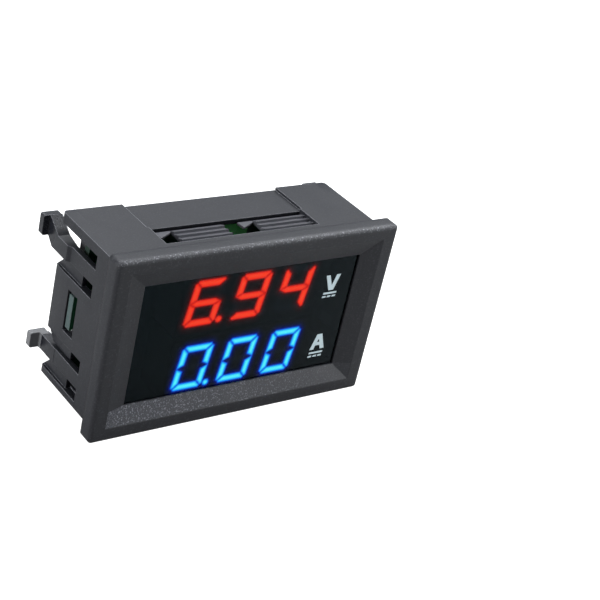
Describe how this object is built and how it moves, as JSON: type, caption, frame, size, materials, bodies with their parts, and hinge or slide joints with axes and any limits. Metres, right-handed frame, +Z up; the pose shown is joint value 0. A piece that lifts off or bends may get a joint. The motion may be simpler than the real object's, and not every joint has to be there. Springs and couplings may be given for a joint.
{
  "type": "digital panel meter",
  "caption": "Snap-in rectangular panel meter with a smoked window, two rows of lit digits, vented case, snap arms and rear headers.",
  "frame": {"origin": "centre of the panel cut-out, in the plane where the back of the bezel seats on the panel", "axes": "+X to the right as seen from the front, +Y back into the panel, +Z up"},
  "size_m": [0.0488, 0.0221, 0.029],
  "materials": {
    "case_plastic": "fine spark-eroded texture",
    "smoked_window": "gloss, smoked",
    "display_shell": "printed matt face",
    "red_light": "lit, diffusing resin",
    "blue_light": "lit, diffusing resin",
    "dark_segments": "unlit, diffusing resin",
    "board": "gloss solder resist",
    "header_nylon": "satin",
    "tinned_metal": "bright tin plating",
    "shunt_alloy": "drawn wire",
    "trimmer_body": "satin",
    "trimmer_disc": "satin",
    "chip_resin": "matt moulding resin",
    "can_aluminium": "satin",
    "ceramic": "fired ceramic",
    "resistor_ceramic": "glazed"
  },
  "bodies": {
    "meter": {"housing": "case_plastic", "display_window": "smoked_window", "volt_display_shell": "display_shell", "volt_segments_lit": "red_light", "volt_segments_dark": "dark_segments", "volt_display_pins": "tinned_metal", "amp_display_shell": "display_shell", "amp_segments_lit": "blue_light", "amp_segments_dark": "dark_segments", "amp_display_pins": "tinned_metal", "circuit_board": "board", "current_header": "header_nylon", "current_header_pins": "tinned_metal", "supply_header": "header_nylon", "supply_header_pins": "tinned_metal", "current_shunt": "shunt_alloy", "volt_trimmer_base": "trimmer_body", "amp_trimmer_base": "trimmer_body", "microcontroller": "chip_resin", "microcontroller_leads": "tinned_metal", "amplifier": "chip_resin", "amplifier_leads": "tinned_metal", "voltage_regulator": "chip_resin", "regulator_leads": "tinned_metal", "protection_diode": "chip_resin", "diode_leads": "tinned_metal", "input_capacitor": "can_aluminium", "input_capacitor_base": "chip_resin", "ceramic_capacitors": "ceramic", "chip_resistors": "resistor_ceramic"},
    "volt_trimmer_rotor": {"volt_trimmer_rotor": "trimmer_disc"},
    "amp_trimmer_rotor": {"amp_trimmer_rotor": "trimmer_disc"}
  },
  "joints": [
    {"name": "volt_trimmer_turn", "type": "hinge", "parent": "meter", "child": "volt_trimmer_rotor", "pos_m": [-0.0109, 0.0114, 0.0052], "axis": [0, 1, 0], "range_deg": [-130, 130]},
    {"name": "amp_trimmer_turn", "type": "hinge", "parent": "meter", "child": "amp_trimmer_rotor", "pos_m": [-0.0109, 0.0114, -0.006], "axis": [0, 1, 0], "range_deg": [-130, 130]}
  ]
}
